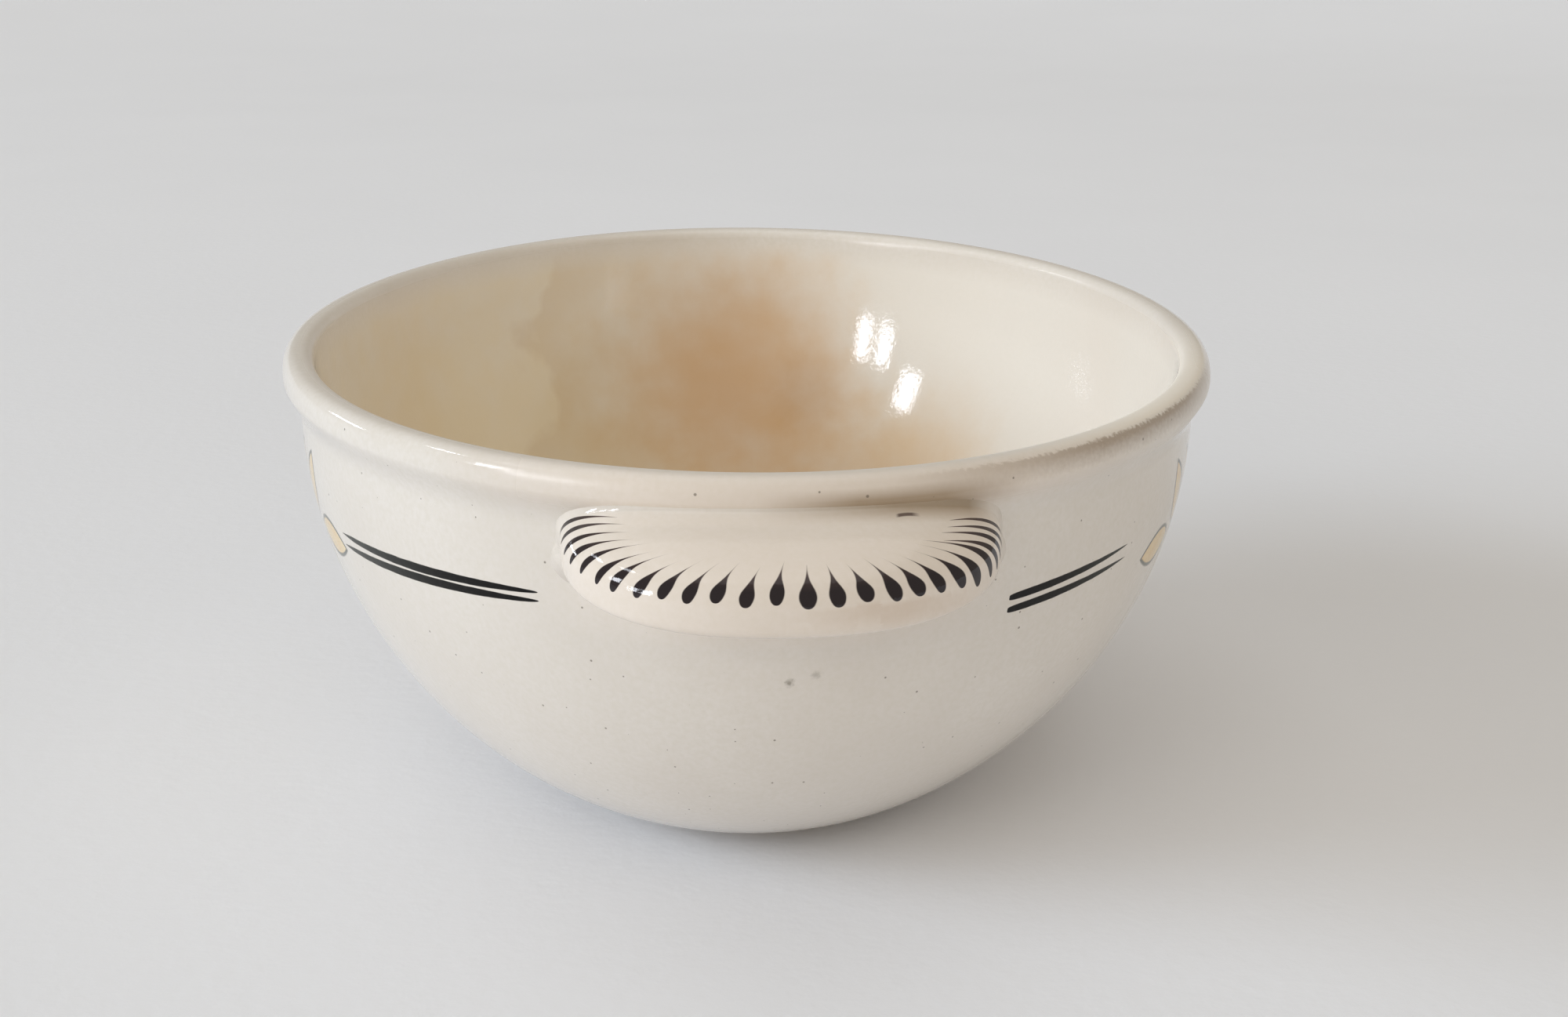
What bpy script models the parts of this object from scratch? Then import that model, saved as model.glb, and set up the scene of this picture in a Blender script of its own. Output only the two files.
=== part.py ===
"""Oval vegetable dish of glazed earthenware: a bowl with a rolled rim, a foot ring and two lug handles.

The frame: metres, +Z up, the origin on the table under the middle of the dish. The long axis is Y, and
the front lug is at -Y. Every level section of the bowl is an ellipse, drawn in from the rim's widest
line by the same distance on both axes (its inset), so a profile is a list of (inset, height) points.
"""

import bmesh
import bpy
import numpy as np
from math import radians

# Overall sizes of the bowl
HALF_WIDTH = 0.095          # short half axis at the widest line of the rim
HALF_LENGTH = 0.115         # long half axis at the widest line of the rim
HEIGHT = 0.090              # table to the crest of the rim

# Rolled rim
LIP_WIDTH = 0.0073          # inner edge of the lip to the bead's widest line
LIP_ROUNDING = 0.0028       # crest down to the lip's inner edge
BEAD_DROP = 0.0045          # crest down to the bead's widest line
BEAD_HEIGHT = 0.0105        # crest down to where the bead runs into the wall
BEAD_REACH = 0.0033         # how far the bead stands out from the wall

# Wall and base
WALL_THICKNESS = 0.0045
UPRIGHT_REACH = 0.0395      # pull of the upright upper wall on the wall's curve
BELLY_REACH = 0.0262        # pull of the level base on the wall's curve
BASE_HALF_WIDTH = 0.0362    # short half axis of the flat base

# Foot ring
FOOT_HEIGHT = 0.0028        # table to the flat base of the bowl
FOOT_WIDTH = 0.0060         # across the ring
FOOT_SETBACK = 0.0008       # edge of the base to the ring's outer side
FOOT_ROUNDING = 0.0010      # rounding of the ring's two lower edges

# Lug handles
LUG_HALF_WIDTH = 0.0375     # half the lug's width along the wall
LUG_REACH = 0.0200          # wall to the lug's nose
LUG_DEPTH = 0.0135          # crest of the rim down to the lug's widest line, at the wall
LUG_RISE = 0.0075           # widest line up to the lug's top, at the wall
LUG_DROP = 0.0055           # widest line down to the lug's underside, at the wall
LUG_DROOP = 0.28            # fall of the lug's widest line for each unit of reach
LUG_PLAN_POWER = 3.0        # squareness of the half moon seen from above: 2 is an ellipse
LUG_SECTION_POWER = 3.2     # squareness of the lug's section

# Seam of slip between luted pieces
SEAM = 0.0003

# Fineness of the curves
OVAL_SEGMENTS = 72
ARC_STEPS = 4
BEAD_STEPS = 4
WALL_STEPS = 12
LUG_SEGMENTS = 48
LUG_RINGS = 24
CREASE_ANGLE = radians(40)


def bezier(start, start_pull, end_pull, end, steps):
    """Points of a cubic curve, as rows of (inset, height)."""
    t = np.linspace(0.0, 1.0, steps + 1)[:, None]
    corners = [np.array(p) for p in (start, start_pull, end_pull, end)]
    weights = [(1 - t) ** 3, 3 * (1 - t) ** 2 * t, 3 * (1 - t) * t ** 2, t ** 3]
    return sum(w * p for w, p in zip(weights, corners))


def arc(centre, radii, start, stop, steps):
    """Points of an ellipse's arc about a centre, from angle start to stop in degrees."""
    angle = np.radians(np.linspace(start, stop, steps + 1))
    return np.array(centre) + np.stack([radii[0] * np.cos(angle), radii[1] * np.sin(angle)], axis=1)


def shifted(profile, distance):
    """The profile moved sideways by a distance: towards the inside of the bowl where it is positive."""
    along = np.gradient(profile, axis=0)
    along /= np.linalg.norm(along, axis=1)[:, None]
    across = np.stack([-along[:, 1], along[:, 0]], axis=1)
    return profile + distance * across


def lip_profile():
    """The lip's rounded top, from its inner edge over the crest to the bead's widest line."""
    half = LIP_WIDTH / 2
    inner = arc((half, HEIGHT - LIP_ROUNDING), (half, LIP_ROUNDING), 0, 90, ARC_STEPS)
    outer = arc((half, HEIGHT - BEAD_DROP), (half, BEAD_DROP), 90, 180, ARC_STEPS)
    return np.vstack([inner, outer[1:]])


def bead_profile():
    """The bead's underside: an S curve from its widest line into the upright wall."""
    top = HEIGHT - BEAD_DROP
    bottom = HEIGHT - BEAD_HEIGHT
    middle = (top + bottom) / 2
    return bezier((0, top), (0, middle), (BEAD_REACH, middle), (BEAD_REACH, bottom), BEAD_STEPS)


def wall_profile():
    """The outside of the wall: upright under the bead, and level where it reaches the flat base."""
    top = HEIGHT - BEAD_HEIGHT
    base_inset = HALF_WIDTH - BASE_HALF_WIDTH
    return bezier((BEAD_REACH, top), (BEAD_REACH, top - UPRIGHT_REACH),
                  (base_inset - BELLY_REACH, FOOT_HEIGHT), (base_inset, FOOT_HEIGHT), WALL_STEPS)


def outside_profile():
    """The whole outside, from the crest of the rim down to the edge of the base."""
    crest_to_bead = lip_profile()[ARC_STEPS:]
    return np.vstack([crest_to_bead, bead_profile()[1:], wall_profile()[1:]])


def loft(name, profile, is_ring):
    """A closed mesh with one ellipse for each profile point: a ring, or a form capped at both ends."""
    angle = np.linspace(0.0, 2 * np.pi, OVAL_SEGMENTS, endpoint=False)
    mesh_maker = bmesh.new()
    ovals = []
    for inset, height in profile:
        across = (HALF_WIDTH - inset) * np.cos(angle)
        along = (HALF_LENGTH - inset) * np.sin(angle)
        ovals.append([mesh_maker.verts.new((x, y, height)) for x, y in zip(across, along)])
    pairs = list(zip(ovals, ovals[1:]))
    if is_ring:
        pairs.append((ovals[-1], ovals[0]))
    for oval, other in pairs:
        for i in range(OVAL_SEGMENTS):
            j = (i + 1) % OVAL_SEGMENTS
            mesh_maker.faces.new((oval[i], oval[j], other[j], other[i]))
    if not is_ring:
        caps = [mesh_maker.faces.new(ovals[0]), mesh_maker.faces.new(ovals[-1])]
        bmesh.ops.poke(mesh_maker, faces=caps)
    bmesh.ops.recalc_face_normals(mesh_maker, faces=mesh_maker.faces)
    mesh = bpy.data.meshes.new(name)
    mesh_maker.to_mesh(mesh)
    mesh_maker.free()
    return mesh


def power(value, exponent):
    """A power that keeps the sign."""
    return np.copysign(abs(value) ** exponent, value)


def lug_mesh():
    """A pillow for one lug: a sphere squared off, bent along the wall and drooping outwards.

    Its origin is on the wall at the end of the dish, at the height of the lug's widest line. Half of
    the pillow lies behind the wall, until the bowl's outside is cut away from it.
    """
    wall_half_width = HALF_WIDTH - BEAD_REACH
    wall_half_length = HALF_LENGTH - BEAD_REACH
    mesh_maker = bmesh.new()
    bmesh.ops.create_uvsphere(mesh_maker, u_segments=LUG_SEGMENTS, v_segments=LUG_RINGS, radius=1.0)
    for vertex in mesh_maker.verts:
        x, y, z = vertex.co
        plan = max(np.hypot(x, y), 1e-9)
        spread = plan ** (2 / LUG_SECTION_POWER)
        sideways = LUG_HALF_WIDTH * power(x / plan, 2 / LUG_PLAN_POWER) * spread
        outwards = LUG_REACH * power(-y / plan, 2 / LUG_PLAN_POWER) * spread
        thickness = LUG_RISE if z > 0 else LUG_DROP
        upwards = thickness * power(z, 2 / LUG_SECTION_POWER)
        wall_fall = wall_half_length * (1 - np.sqrt(1 - (sideways / wall_half_width) ** 2))
        vertex.co = (sideways, wall_fall - outwards, upwards - LUG_DROOP * outwards)
    bmesh.ops.recalc_face_normals(mesh_maker, faces=mesh_maker.faces)
    mesh = bpy.data.meshes.new("lug")
    mesh_maker.to_mesh(mesh)
    mesh_maker.free()
    return mesh


def ceramic(name, colour, roughness):
    """A plain fired-clay material: a glaze is smooth, bare clay is rough."""
    material = bpy.data.materials.new(name)
    material.use_nodes = True
    shader = material.node_tree.nodes["Principled BSDF"]
    shader.inputs["Base Color"].default_value = (*colour, 1.0)
    shader.inputs["Roughness"].default_value = roughness
    shader.inputs["Metallic"].default_value = 0.0
    return material


def add_object(name, mesh, collection, material):
    """An object of a mesh, shaded smooth between its creases."""
    mesh.shade_smooth()
    mesh.set_sharp_from_angle(angle=CREASE_ANGLE)
    thing = bpy.data.objects.new(name, mesh)
    collection.objects.link(thing)
    if material:
        mesh.materials.clear()
        mesh.materials.append(material)
    return thing


def add_collection(name):
    """A new collection in the scene."""
    collection = bpy.data.collections.new(name)
    bpy.context.scene.collection.children.link(collection)
    return collection


for leftover in list(bpy.data.objects):
    bpy.data.objects.remove(leftover)

dish = add_collection("oval_vegetable_dish")
cutters = add_collection("oval_vegetable_dish_cutters")

# The bowl: up its inside, over the lip and the bead, and down its outside to the base
inside = shifted(wall_profile(), WALL_THICKNESS)[::-1]
bowl_profile = np.vstack([inside, lip_profile(), outside_profile()[ARC_STEPS + 1:]])
bowl = add_object("dish_bowl", loft("dish_bowl", bowl_profile, is_ring=False), dish,
                  ceramic("cream glaze", (0.72, 0.65, 0.55), 0.15))

# The foot ring: a low band under the base, with its lower edges rounded
foot_outer = HALF_WIDTH - BASE_HALF_WIDTH + FOOT_SETBACK
foot_inner = foot_outer + FOOT_WIDTH
foot_top = FOOT_HEIGHT - SEAM
foot_edge = min(FOOT_ROUNDING, foot_top / 2, FOOT_WIDTH / 3)
outer_edge = arc((foot_outer + foot_edge, foot_edge), (foot_edge, foot_edge), 180, 270, 2)
inner_edge = arc((foot_inner - foot_edge, foot_edge), (foot_edge, foot_edge), 270, 360, 2)
foot_profile = np.vstack([(foot_outer, foot_top), outer_edge, inner_edge, (foot_inner, foot_top)])
add_object("foot_ring", loft("foot_ring", foot_profile, is_ring=True), dish,
           ceramic("bare fired clay", (0.68, 0.55, 0.40), 0.7))

# The form that shapes the backs of the lugs: the bowl's outside, a seam larger and taller than the rim
grown_outside = shifted(outside_profile(), -SEAM)
form_top = grown_outside[0] + (0, LUG_RISE)
form_profile = np.vstack([form_top, grown_outside])
luting_form = add_object("luting_form", loft("luting_form", form_profile, is_ring=False), cutters, None)
luting_form.hide_render = True
luting_form.display_type = "WIRE"

# The two lugs, end to end: one pillow, cut to the wall at each end of the dish
pillow = lug_mesh()
lug_seat = HALF_LENGTH - BEAD_REACH
for lug_name, end, turn in (("front_lug", -1, 0), ("rear_lug", 1, 180)):
    lug = add_object(lug_name, pillow.copy(), dish, ceramic(lug_name + " glaze", (0.74, 0.67, 0.57), 0.15))
    lug.location = (0, end * lug_seat, HEIGHT - LUG_DEPTH)
    lug.rotation_euler = (0, 0, radians(turn))
    lug.parent = bowl
    cut = lug.modifiers.new("fit to the wall", "BOOLEAN")
    cut.operation = "DIFFERENCE"
    cut.solver = "EXACT"
    cut.object = luting_form
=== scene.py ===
"""Looks of an oval vegetable dish: cream glazed earthenware with dark brush strokes, on paper by a window.

Metres, +Z up, origin on the table under the middle of the dish, long axis along Y, front lug at -Y.
"""

import bpy
import numpy as np
from mathutils import Matrix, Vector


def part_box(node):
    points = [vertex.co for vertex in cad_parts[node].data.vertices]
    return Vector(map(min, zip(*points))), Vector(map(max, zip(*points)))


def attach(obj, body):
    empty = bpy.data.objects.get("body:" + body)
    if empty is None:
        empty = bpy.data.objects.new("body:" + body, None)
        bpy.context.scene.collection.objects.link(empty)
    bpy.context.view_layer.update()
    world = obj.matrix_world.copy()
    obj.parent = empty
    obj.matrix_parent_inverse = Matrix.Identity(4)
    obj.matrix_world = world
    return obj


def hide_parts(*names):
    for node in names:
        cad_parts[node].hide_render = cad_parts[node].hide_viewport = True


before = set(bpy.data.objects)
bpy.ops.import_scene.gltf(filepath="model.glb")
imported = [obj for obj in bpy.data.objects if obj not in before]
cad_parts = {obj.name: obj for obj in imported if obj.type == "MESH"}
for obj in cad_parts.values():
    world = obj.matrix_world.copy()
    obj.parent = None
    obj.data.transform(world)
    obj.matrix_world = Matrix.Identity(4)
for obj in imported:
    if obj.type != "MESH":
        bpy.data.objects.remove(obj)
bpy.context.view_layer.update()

# Dish bowl
# The body of the dish: an oval bowl of pale earthenware pressed in a mould, with a rolled bead round its rim.
# It was painted by hand with pairs of lines and a leaf spray, dipped in clear cream glaze and fired.
bowl_low, bowl_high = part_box("dish_bowl")
half_width, half_length, rim_height = bowl_high
base_height = bowl_low.z
crest_inset = 0.0033        # bead's widest line to the crest
crest_squareness = 2.5      # how flat the crest is on its outer side: 2 is an ellipse
lip_straight = 0.0096       # how far the wall's inside runs on straight under the lip
lip_pull = 0.0016           # pull of the wall's inside on the curve over the lip
crest_pull = 0.0022         # pull of the level crest on that curve
bead_drop = 0.0045          # crest down to the bead's widest line
bead_height = 0.0120        # crest down to where the bead has run out into the wall
bead_pull = 0.0016          # pull of the bead's upright side on the curve under it
crease_pull = 0.0034        # pull of the upright wall on that curve
bead_reach = 0.0033         # how far the bead stands out from the wall
wall_thickness = 0.0041     # under the rim
wall_swell = 0.0020         # how much thicker the wall is lower down
swell_reach = 0.018         # how quickly it thickens
upright_reach = 0.0380      # pull of the upright upper wall on the wall's curve
belly_reach = 0.0262        # pull of the level base on the wall's curve
base_half_width = 0.0362    # short half axis of the flat base
hand_wobble = 0.00022       # how far the moulded wall strays from a true oval
belly_flat = 0.0013         # how far the belly is drawn in, low on the right of the front
belly_flat_turn = 0.6       # where its middle lies, as a turn in radians from the front
belly_flat_height = 0.012   # and as a height
belly_flat_reach = 0.018    # how far up and down it runs out
belly_flat_focus = 5.0      # how quickly it runs out round the oval: more is quicker
rim_flat = 0.0013           # how far the wall is drawn in at the rim, on the left of the far end
rim_flat_turn = -2.2
rim_flat_focus = 10.0
bowl_columns = 384
disc_steps = 12             # rings on the floor inside, and on the base below


def bezier(start, start_pull, end_pull, end, steps):
    """Points of a cubic curve: the four corners weighted by the cubic Bernstein polynomials."""
    t = np.linspace(0.0, 1.0, steps + 1)[:, None]
    weights = [(1 - t) ** 3, 3 * (1 - t) ** 2 * t, 3 * (1 - t) * t ** 2, t ** 3]
    return sum(w * np.array(p) for w, p in zip(weights, (start, start_pull, end_pull, end)))


def power(value, exponent):
    """A power that keeps the sign."""
    return np.sign(value) * np.abs(value) ** exponent


def arc(centre, radii, start, stop, steps, squareness=2.0):
    """Points of an ellipse's arc about a centre, from angle start to stop in degrees.

    Cosine and sine are raised to 2 / squareness, so that more than 2 fills the corners out.
    """
    angle = np.radians(np.linspace(start, stop, steps + 1))
    across, along = power(np.cos(angle), 2 / squareness), power(np.sin(angle), 2 / squareness)
    return np.array(centre) + np.stack([radii[0] * across, radii[1] * along], axis=1)


def travelled(points):
    """The distance along a line of points, from its first point to each of them."""
    return np.concatenate([[0.0], np.cumsum(np.linalg.norm(np.diff(points, axis=0), axis=1))])


def hand_drawn(height, turn):
    """How far the hand-finished wall is drawn in from the true oval, and how far it sags.

    The turn is 0 at the front and grows towards +X. A slow wave of three sines round the oval, which fades
    out towards the base, draws the wall in and the rim down by a hair. Two flatter places, bell curves in
    the turn and the height, follow the outline in the photo.
    """
    lift = np.clip((height - base_height) / (rim_height - base_height), 0.0, 1.0)
    wave = 3 + np.sin(2 * turn + 0.7) + np.sin(3 * turn + 40 * height + 2) + np.sin(5 * turn - 25 * height)
    belly_fade = ((height - belly_flat_height) / belly_flat_reach) ** 2
    belly = belly_flat * np.exp(belly_flat_focus * (np.cos(turn - belly_flat_turn) - 1) - belly_fade)
    rim = rim_flat * lift ** 2 * np.exp(rim_flat_focus * (np.cos(turn - rim_flat_turn) - 1))
    sag = hand_wobble * lift * (1 + np.sin(2 * turn - 1.05))
    return hand_wobble * lift * wave / 3 + belly + rim, sag


def ovals(inset, height, turn):
    """Points of ovals: (half width - inset) sin turn, -(half length - inset) cos turn, and the height."""
    across = (half_width - inset) * np.sin(turn)
    along = (half_length - inset) * -np.cos(turn)
    return np.stack(np.broadcast_arrays(across, along, height), axis=-1)


def shrunk(ring, shares):
    """Copies of a ring drawn in to the middle, one for each share of its size, at the ring's own height."""
    return np.stack([ring * (share, share, 1.0) for share in shares])


def corners(grid):
    """Values at the four corners of every quad of a grid, in the order in which skin lists them."""
    return np.stack([grid[:-1, :-1], grid[1:, :-1], grid[1:, 1:], grid[:-1, 1:]], axis=2)


def mesh_object(name, points, faces):
    """A smooth object at the origin, with its place in its mesh."""
    mesh = bpy.data.meshes.new(name)
    mesh.from_pydata(points.reshape(-1, 3).tolist(), [], faces)
    mesh.shade_smooth()
    made = bpy.data.objects.new(name, mesh)
    bpy.context.scene.collection.objects.link(made)
    return made


def skin(name, rings, first_pole, last_pole, maps):
    """A closed mesh over rings of points: quads between neighbours, and a fan of triangles to each pole.

    rings is (rows, columns, 3), and the last column joins the first. A UV map is given at the corners of
    every quad, (rows - 1, columns, 4, 2), so that it may break between two faces, and once for each fan.
    """
    rows, columns = rings.shape[:2]
    index = np.arange(rows * columns).reshape(rows, columns)
    beside = np.roll(index, -1, axis=1)
    quads = np.stack([index[:-1], index[1:], beside[1:], beside[:-1]], axis=2).reshape(-1, 4)
    first_fan = np.stack([np.full(columns, index.size), index[0], beside[0]], axis=1)
    last_fan = np.stack([np.full(columns, index.size + 1), beside[-1], index[-1]], axis=1)
    points = np.vstack([rings.reshape(-1, 3), [first_pole], [last_pole]])
    made = mesh_object(name, points, quads.tolist() + first_fan.tolist() + last_fan.tolist())
    for map_name, (values, at_first, at_last) in maps.items():
        fans = [np.tile(at_pole, first_fan.size) for at_pole in (at_first, at_last)]
        layer = made.data.uv_layers.new(name=map_name)
        layer.data.foreach_set("uv", np.concatenate([values.reshape(-1), *fans]))
    return made


# Profile rows are (inset, height): the inset draws the oval in by the same distance on both half axes
bead_level = rim_height - bead_drop
wall_top = rim_height - bead_height
base_inset = half_width - base_half_width
lip_outer = arc((crest_inset, bead_level), (crest_inset, bead_drop), 90, 180, 18, crest_squareness)
bead_under = bezier((0, bead_level), (0, bead_level - bead_pull), (bead_reach, wall_top + crease_pull),
                    (bead_reach, wall_top), 18)
wall_outer = bezier((bead_reach, wall_top), (bead_reach, wall_top - upright_reach),
                    (base_inset - belly_reach, base_height), (base_inset, base_height), 84)
wall_slope = np.gradient(wall_outer, axis=0)
wall_slope /= np.linalg.norm(wall_slope, axis=1)[:, None]
thickness = wall_thickness + wall_swell * (1 - np.exp(-travelled(wall_outer) / swell_reach))
wall_inner = wall_outer + thickness[:, None] * np.stack([-wall_slope[:, 1], wall_slope[:, 0]], axis=1)
lip_slope = (wall_inner[0] - wall_inner[1]) / np.linalg.norm(wall_inner[0] - wall_inner[1])
lip_foot = wall_inner[0] + lip_straight * lip_slope
lip_inner = np.vstack([
    np.linspace(wall_inner[0], lip_foot, 5)[:-1],
    bezier(lip_foot, lip_foot + lip_pull * lip_slope, (crest_inset + crest_pull, rim_height),
           (crest_inset, rim_height), 16)])
outside = np.vstack([lip_outer, bead_under[1:], wall_outer[1:]])
bowl_profile = np.vstack([wall_inner[::-1], lip_inner[1:], outside[1:]])

seam_turn = np.linspace(-np.pi, np.pi, bowl_columns + 1)
bowl_inset, bowl_height = bowl_profile[:, :1], bowl_profile[:, 1:]
bowl_drawn, bowl_sag = hand_drawn(bowl_height, seam_turn[None, :-1])
walls = ovals(bowl_inset + bowl_drawn, bowl_height - bowl_sag, seam_turn[None, :-1])
disc_shares = np.linspace(0.0, 1.0, disc_steps + 1)[1:-1]
bowl_surface = np.concatenate([shrunk(walls[0], disc_shares), walls, shrunk(walls[-1], disc_shares[::-1])])

# How far below the crest each row lies, measured along the surface: less than nought is inside the bowl
wall_below = travelled(bowl_profile) - travelled(bowl_profile)[len(wall_inner) + len(lip_inner) - 2]
disc_run = (1 - disc_shares) * (half_width + half_length) / 2
row_below = np.concatenate([wall_below[0] - disc_run, wall_below, wall_below[-1] + disc_run[::-1]])
band_oval = ovals(bead_reach, 0.0, seam_turn)
round_run = travelled(band_oval) - travelled(band_oval)[-1] / 2
below, run = (corners(np.broadcast_to(values, (len(row_below), len(seam_turn))))
              for values in (row_below[:, None], round_run[None, :]))
shell_map = np.stack([run, below], axis=3)


def below_at(depth):
    """The distance along the outside that lies a depth under the crest."""
    return np.interp(depth, rim_height - outside[:, 1], travelled(outside))


# Painted line pairs: each runs from beside the leaf spray (turn and depth) to beside the lug (turn and depth)
pair_outer = np.array([(-124, 0.0270), (-61.2, 0.0285), (47.2, 0.0262), (122, 0.0275)])
pair_inner = np.array([(-153, 0.0262), (-26.6, 0.0250), (26.8, 0.0281), (154, 0.0266)])
outer_gap = np.array([0.0023, 0.0024, 0.0026, 0.0023])      # between the middles of a pair's two lines
inner_gap = np.array([0.0021, 0.0017, 0.0025, 0.0020])
line_widths = 0.0021, 0.0017                                # of the lines on the left and on the right
line_head = 0.55                                            # how slowly a line swells
line_tails = 0.40, 0.14                                     # how slowly it ends: sharp left, blunt right
pair_edges = (-90, 0, 90)
turn = corners(np.broadcast_to(np.degrees(seam_turn)[None, :], (len(row_below), len(seam_turn))))
pair = np.digitize(turn.mean(axis=2), pair_edges)[..., None]
pair_along = (turn - pair_outer[pair, 0]) / (pair_inner[pair, 0] - pair_outer[pair, 0])
outer_below, inner_below = below_at(pair_outer[:, 1])[pair], below_at(pair_inner[:, 1])[pair]
pair_across = below - outer_below - (inner_below - outer_below) * pair_along
pair_gap = outer_gap[pair] + (inner_gap - outer_gap)[pair] * np.clip(pair_along, 0.0, 1.0)
line_map = np.stack([pair_across / (pair_gap / 2), pair_along], axis=3)


def stroke_scale(head, tail):
    """One over the maximum of t^head (1 - t)^tail, which lies at t = head / (head + tail)."""
    peak = head / (head + tail)
    return 1 / (peak ** head * (1 - peak) ** tail)


def deepest_stroke(across, along, half, length, width):
    """Shares across and along the stroke in which each quad lies deepest, at its corners, and its number.

    The last axis of across and along is the strokes. A quad's depth in a stroke is the half width there, half
    times width at its share t, less the distance from the stroke's middle and from its ends.
    """
    t, off = along.mean(axis=2), np.abs(across.mean(axis=2))
    inner_t = np.clip(t, 1e-6, 1 - 1e-6)
    number = (half * (width(inner_t) - off) - length * np.abs(t - inner_t)).argmax(axis=2)
    chosen = number[:, :, None, None]
    picked = [np.take_along_axis(values, chosen, axis=3)[..., 0] for values in (across, along)]
    return np.stack(picked, axis=3), number


# Leaf spray on each long side: leaves above and below a stem, which point away from the spray's middle
spray_half = 0.054          # spray's middle to the tip of its end leaf
spray_depth = 0.0310        # crest down to the stem
spray_middle = {-1: -0.002, 1: -0.018}  # how far each side's spray lies from the middle of the long side
leaf_pairs = 3              # pairs of leaves on each half of a stem
leaf_start = 0.35           # where the first leaf leaves the stem, as a share of the leaves' spacing
leaf_length = 0.0200
leaf_half_width = 0.0042
leaf_lean = np.radians(56)  # between a leaf and its stem
leaf_head, leaf_tail = 0.75, 0.95   # how slowly a leaf swells, and how slowly it ends
stem_half_width = 0.0007
quarter_run = np.interp(np.pi / 2, seam_turn, round_run)


def leaf_width(t):
    """A leaf's half width at a share t of its length, as a share of its greatest half width."""
    return stroke_scale(leaf_head, leaf_tail) * t ** leaf_head * (1 - t) ** leaf_tail


def leaf_coordinates(side):
    """Shares across and along the leaf or stem in which each of the bowl's quads lies deepest, on one side.

    A leaf leaves the stem by the lean, outwards and up or down. A point's places along it and across it are
    the two parts of its distance from the leaf's foot, over the length and the half width.
    """
    station = (np.arange(leaf_pairs) + leaf_start) / leaf_pairs * (spray_half - leaf_length)
    leaves = [(end * foot, end, rise, leaf_lean) for end in (-1, 1) for rise in (-1, 1) for foot in station]
    leaves += [(end * (spray_half - leaf_length), end, 1, 0.0) for end in (-1, 1)]
    foot, end, rise, lean = np.array(leaves + [(leaf_length - spray_half, 1, 1, 0.0)]).T
    length, half = np.full(len(foot), leaf_length), np.full(len(foot), leaf_half_width)
    length[-1], half[-1] = 2 * (spray_half - leaf_length), stem_half_width
    beside = (side * (run - side * quarter_run) - spray_middle[side])[..., None] - foot
    above = (below_at(spray_depth) - below)[..., None]
    along = (beside * end * np.cos(lean) + above * rise * np.sin(lean)) / length
    across = (above * end * np.cos(lean) - beside * rise * np.sin(lean)) / half
    return deepest_stroke(across, along, half, length, leaf_width)[0]


leaf_map = np.where(run[..., None] > 0, leaf_coordinates(1), leaf_coordinates(-1))
off_paint = (9.0, 0.0)      # stroke coordinates far outside any stroke

bowl = skin("bowl", bowl_surface, (0, 0, bowl_surface[0, 0, 2]), (0, 0, base_height),
            {"shell": (shell_map, (0.0, row_below[0]), (0.0, row_below[-1])),
             "lines": (line_map, off_paint, off_paint), "leaves": (leaf_map, off_paint, off_paint)})


def colour(code):
    """Linear RGBA of an sRGB hex colour: below 0.04045 a straight line, above it a power of 2.4."""
    share = np.array([int(code[i:i + 2], 16) for i in (1, 3, 5)]) / 255
    linear = np.where(share <= 0.04045, share / 12.92, ((share + 0.055) / 1.055) ** 2.4)
    return (*linear.tolist(), 1.0)


def add_node(tree, kind, inputs, **settings):
    """A shader node with its settings; each input gets a value, or a link from a node or a socket."""
    made = tree.nodes.new("ShaderNode" + kind)
    for name, value in settings.items():
        setattr(made, name, value)
    for socket, value in inputs.items():
        if isinstance(value, (bpy.types.Node, bpy.types.NodeSocket)):
            source = value.outputs[0] if isinstance(value, bpy.types.Node) else value
            tree.links.new(source, made.inputs[socket])
        else:
            made.inputs[socket].default_value = value
    return made


def new_material(name):
    """A material with its node tree and its Principled shader."""
    material = bpy.data.materials.new(name)
    material.use_nodes = True
    return material, material.node_tree, material.node_tree.nodes["Principled BSDF"]


end_slope = 4.0             # how quickly a stroke's depth falls past its ends, so that no hairline runs on


def stroke_depth(tree, across, along, head, tail, scale):
    """How far a point lies inside a stroke, as a share of its half width; below nought is outside.

    The half width at share t is t^head (1 - t)^tail times the scale. From it go the distance from the
    stroke's middle, and the end slope times what lies past the stroke's ends.
    """
    share = add_node(tree, "Math", {0: along, 1: 0.0}, operation="ADD", use_clamp=True)
    rest = add_node(tree, "Math", {0: 1.0, 1: share}, operation="SUBTRACT")
    swell = add_node(tree, "Math", {0: share, 1: head}, operation="POWER")
    taper = add_node(tree, "Math", {0: rest, 1: tail}, operation="POWER")
    width = add_node(tree, "Math", {0: swell, 1: taper}, operation="MULTIPLY")
    full = add_node(tree, "Math", {0: width, 1: scale}, operation="MULTIPLY")
    off = add_node(tree, "Math", {0: across, 1: 0.0}, operation="ABSOLUTE")
    within = add_node(tree, "Math", {0: full, 1: off}, operation="SUBTRACT")
    past = add_node(tree, "Math", {0: along, 1: share}, operation="SUBTRACT")
    past_end = add_node(tree, "Math", {0: past, 1: 0.0}, operation="ABSOLUTE")
    return add_node(tree, "Math", {0: past_end, 1: -end_slope, 2: within}, operation="MULTIPLY_ADD")


def lay(tree, under, over, cover, *shares):
    """One colour over another: the upper one hides the lower by its cover times the shares given."""
    for share in shares:
        cover = add_node(tree, "Math", {0: cover, 1: share}, operation="MULTIPLY")
    return add_node(tree, "Mix", {0: cover, 6: under, 7: over}, data_type="RGBA").outputs[2]


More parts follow.
